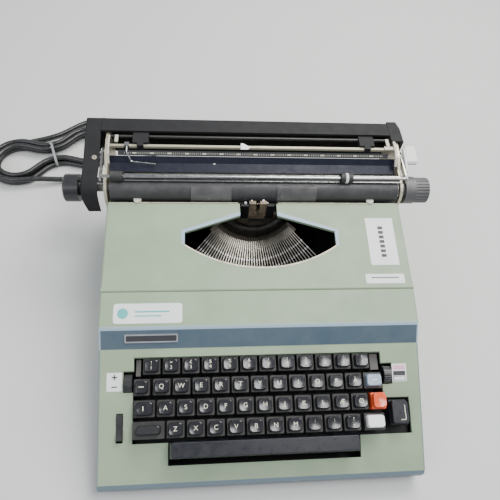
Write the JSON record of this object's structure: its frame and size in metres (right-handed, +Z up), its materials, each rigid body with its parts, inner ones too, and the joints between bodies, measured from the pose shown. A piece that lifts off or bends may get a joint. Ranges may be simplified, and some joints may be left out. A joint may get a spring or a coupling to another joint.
{
  "type": "electric typewriter",
  "caption": "Compact desktop electric typewriter with a moving carriage, platen, typebar basket, full keyboard, lift-up top cover and a mains cord tied in a hank.",
  "frame": {"origin": "bottom centre of the typewriter's bounding box, without the free cord", "axes": "+X to the typist's right along the carriage, +Y to the back, +Z up"},
  "size_m": [0.5513, 0.5202, 0.152],
  "materials": {
    "case_green": "moulded, fine texture",
    "black_plastic": "satin",
    "gloss_black": "polished",
    "key_black": "polished",
    "key_blue": "polished",
    "key_red": "polished",
    "key_white": "polished",
    "rubber": "ground",
    "steel": "brushed",
    "zinc": "passivated zinc plate",
    "chrome": "bright",
    "paint_navy": "enamel",
    "cream_metal": "enamel",
    "aluminium": "satin",
    "cast": "machined",
    "smoked": "clear smoked",
    "pvc_black": "flexible PVC",
    "white_plastic": "satin"
  },
  "bodies": {
    "machine": {"feet": "rubber", "base_pan": "black_plastic", "front_shell": "case_green", "name_plate": "aluminium", "keyboard_plate": "black_plastic", "side_plates": "steel", "carriage_rails": "steel", "motor": "steel", "drive_belt": "rubber", "typebars": "steel", "type_segment": "cast", "type_rest": "rubber", "type_guide": "cast", "card_holders": "smoked", "ribbon_vibrator": "steel", "ribbon_brackets": "steel", "cord_gland": "gloss_black", "cord_lead": "pvc_black", "cord_hank": "pvc_black", "plug": "gloss_black"},
    "top_cover": {"top_cover": "case_green"},
    "keys_row_1": {"keys_row_1": "key_black"},
    "keys_row_2": {"keys_row_2": "key_black"},
    "keys_row_3": {"keys_row_3": "key_black"},
    "keys_row_4": {"keys_row_4": "key_black"},
    "space_bar": {"space_bar": "key_black"},
    "shift_keys": {"shift_keys": "key_white"},
    "tab_key": {"tab_key": "key_blue"},
    "correction_key": {"correction_key": "key_red"},
    "return_key": {"return_key": "key_black"},
    "power_switch": {"power_switch": "gloss_black"},
    "impression_wheel": {"impression_wheel": "gloss_black"},
    "selector_wheel": {"selector_wheel": "gloss_black"},
    "typebar_middle": {"typebar_middle": "steel"},
    "motor_pulley": {"motor_pulley": "black_plastic"},
    "power_roller": {"power_roller": "rubber"},
    "mainspring_drum": {"mainspring_drum": "steel"},
    "ribbon_spool_left": {"ribbon_spool_left": "black_plastic"},
    "ribbon_spool_right": {"ribbon_spool_right": "black_plastic"},
    "carriage": {"carriage_frame": "zinc", "escapement_rack": "steel", "left_end_cover": "black_plastic", "right_end_cap": "black_plastic", "rear_cover": "black_plastic", "paper_table": "paint_navy", "scale_strip": "black_plastic", "margin_rack": "cream_metal"},
    "margin_stop_left": {"margin_stop_left": "black_plastic"},
    "margin_stop_right": {"margin_stop_right": "black_plastic"},
    "paper_guide": {"paper_guide": "chrome"},
    "platen": {"platen": "rubber", "platen_shaft": "steel", "knob_left": "black_plastic", "knob_right": "black_plastic", "ratchet_wheel": "steel"},
    "feed_roller_front": {"feed_roller_front": "rubber"},
    "feed_roller_rear": {"feed_roller_rear": "rubber"},
    "paper_bail": {"paper_bail": "chrome"},
    "bail_rollers": {"bail_rollers": "rubber"},
    "paper_release_lever": {"paper_release_lever": "white_plastic"}
  },
  "joints": [
    {"name": "cover_hinge", "type": "hinge", "parent": "machine", "child": "top_cover", "pos_m": [0.005, -0.01185, 0.10184], "axis": [1, 0, 0], "range_deg": [0, 75]},
    {"name": "keys_row_1_press", "type": "slide", "parent": "machine", "child": "keys_row_1", "axis": [0, 0.2419, -0.9703], "range_m": [0, 0.0045], "stiffness_N_per_m": 250, "springref_m": -0.004},
    {"name": "keys_row_2_press", "type": "slide", "parent": "machine", "child": "keys_row_2", "axis": [0, 0.2419, -0.9703], "range_m": [0, 0.0045], "stiffness_N_per_m": 250, "springref_m": -0.004},
    {"name": "keys_row_3_press", "type": "slide", "parent": "machine", "child": "keys_row_3", "axis": [0, 0.2419, -0.9703], "range_m": [0, 0.0045], "stiffness_N_per_m": 250, "springref_m": -0.004},
    {"name": "keys_row_4_press", "type": "slide", "parent": "machine", "child": "keys_row_4", "axis": [0, 0.2419, -0.9703], "range_m": [0, 0.0045], "stiffness_N_per_m": 250, "springref_m": -0.004},
    {"name": "space_bar_press", "type": "slide", "parent": "machine", "child": "space_bar", "axis": [0, 0.2419, -0.9703], "range_m": [0, 0.0045], "stiffness_N_per_m": 250, "springref_m": -0.004},
    {"name": "shift_press", "type": "slide", "parent": "machine", "child": "shift_keys", "axis": [0, 0.2419, -0.9703], "range_m": [0, 0.0045], "stiffness_N_per_m": 150, "springref_m": -0.004},
    {"name": "tab_key_press", "type": "slide", "parent": "machine", "child": "tab_key", "axis": [0, 0.2419, -0.9703], "range_m": [0, 0.0045], "stiffness_N_per_m": 100, "springref_m": -0.004},
    {"name": "correction_key_press", "type": "slide", "parent": "machine", "child": "correction_key", "axis": [0, 0.2419, -0.9703], "range_m": [0, 0.0045], "stiffness_N_per_m": 100, "springref_m": -0.004},
    {"name": "return_key_press", "type": "slide", "parent": "machine", "child": "return_key", "axis": [0, 0.2419, -0.9703], "range_m": [0, 0.0045], "stiffness_N_per_m": 100, "springref_m": -0.004},
    {"name": "power_rocker", "type": "hinge", "parent": "machine", "child": "power_switch", "pos_m": [-0.135, -0.13315, 0.04727], "axis": [1, 0, 0], "range_deg": [-8, 0]},
    {"name": "impression_turn", "type": "hinge", "parent": "machine", "child": "impression_wheel", "pos_m": [-0.1272, -0.09435, 0.06431], "axis": [1, 0, 0], "range_deg": [-60, 60]},
    {"name": "selector_turn", "type": "hinge", "parent": "machine", "child": "selector_wheel", "pos_m": [0.1308, -0.09335, 0.06479], "axis": [1, 0, 0], "range_deg": [-60, 60]},
    {"name": "typebar_swing", "type": "hinge", "parent": "machine", "child": "typebar_middle", "pos_m": [0.00768, 0.08162, 0.04425], "axis": [-0.9998, -0.0122, -0.0141], "range_deg": [0, 114]},
    {"name": "motor_turn", "type": "hinge", "parent": "machine", "child": "motor_pulley", "pos_m": [-0.1, 0.02625, 0.036], "axis": [1, 0, 0], "continuous": true},
    {"name": "power_roller_turn", "type": "hinge", "parent": "machine", "child": "power_roller", "pos_m": [0.005, -0.00375, 0.026], "axis": [1, 0, 0], "continuous": true},
    {"name": "mainspring_turn", "type": "hinge", "parent": "machine", "child": "mainspring_drum", "pos_m": [0.117, 0.13625, 0.05], "axis": [0, 1, 0], "range_deg": [-400, 400]},
    {"name": "spool_left_turn", "type": "hinge", "parent": "machine", "child": "ribbon_spool_left", "pos_m": [-0.1155, 0.03225, 0.078], "axis": [0, 0, 1], "continuous": true},
    {"name": "spool_right_turn", "type": "hinge", "parent": "machine", "child": "ribbon_spool_right", "pos_m": [0.1285, 0.03225, 0.078], "axis": [0, 0, 1], "continuous": true},
    {"name": "carriage_travel", "type": "slide", "parent": "machine", "child": "carriage", "axis": [1, 0, 0], "range_m": [-0.118, 0.108]},
    {"name": "margin_left_slide", "type": "slide", "parent": "carriage", "child": "margin_stop_left", "axis": [1, 0, 0], "range_m": [-0.001, 0.1]},
    {"name": "margin_right_slide", "type": "slide", "parent": "carriage", "child": "margin_stop_right", "axis": [1, 0, 0], "range_m": [-0.1, 0.008]},
    {"name": "paper_guide_slide", "type": "slide", "parent": "carriage", "child": "paper_guide", "axis": [1, 0, 0], "range_m": [-0.015, 0.001]},
    {"name": "platen_turn", "type": "hinge", "parent": "carriage", "child": "platen", "pos_m": [0.005, 0.10525, 0.12], "axis": [1, 0, 0], "continuous": true},
    {"name": "feed_front_turn", "type": "hinge", "parent": "carriage", "child": "feed_roller_front", "pos_m": [0.005, 0.09575, 0.101], "axis": [1, 0, 0], "continuous": true},
    {"name": "feed_rear_turn", "type": "hinge", "parent": "carriage", "child": "feed_roller_rear", "pos_m": [0.005, 0.11485, 0.101], "axis": [1, 0, 0], "continuous": true},
    {"name": "bail_lift", "type": "hinge", "parent": "carriage", "child": "paper_bail", "pos_m": [0.005, 0.13925, 0.141], "axis": [-1, 0, 0], "range_deg": [0, 70]},
    {"name": "bail_roller_turn", "type": "hinge", "parent": "paper_bail", "child": "bail_rollers", "pos_m": [0.005, 0.10325, 0.1418], "axis": [1, 0, 0], "continuous": true},
    {"name": "release_pull", "type": "hinge", "parent": "carriage", "child": "paper_release_lever", "pos_m": [0.175, 0.11725, 0.1415], "axis": [1, 0, 0], "range_deg": [0, 35]}
  ],
  "couplings": [
    {"joint": "feed_front_turn", "follows": "platen_turn", "ratio": -3.2},
    {"joint": "feed_rear_turn", "follows": "platen_turn", "ratio": -3.2},
    {"joint": "power_roller_turn", "follows": "motor_turn", "ratio": 0.63636},
    {"joint": "mainspring_turn", "follows": "carriage_travel", "rad_per_m": 50},
    {"joint": "spool_left_turn", "follows": "spool_right_turn", "ratio": 0.7}
  ]
}
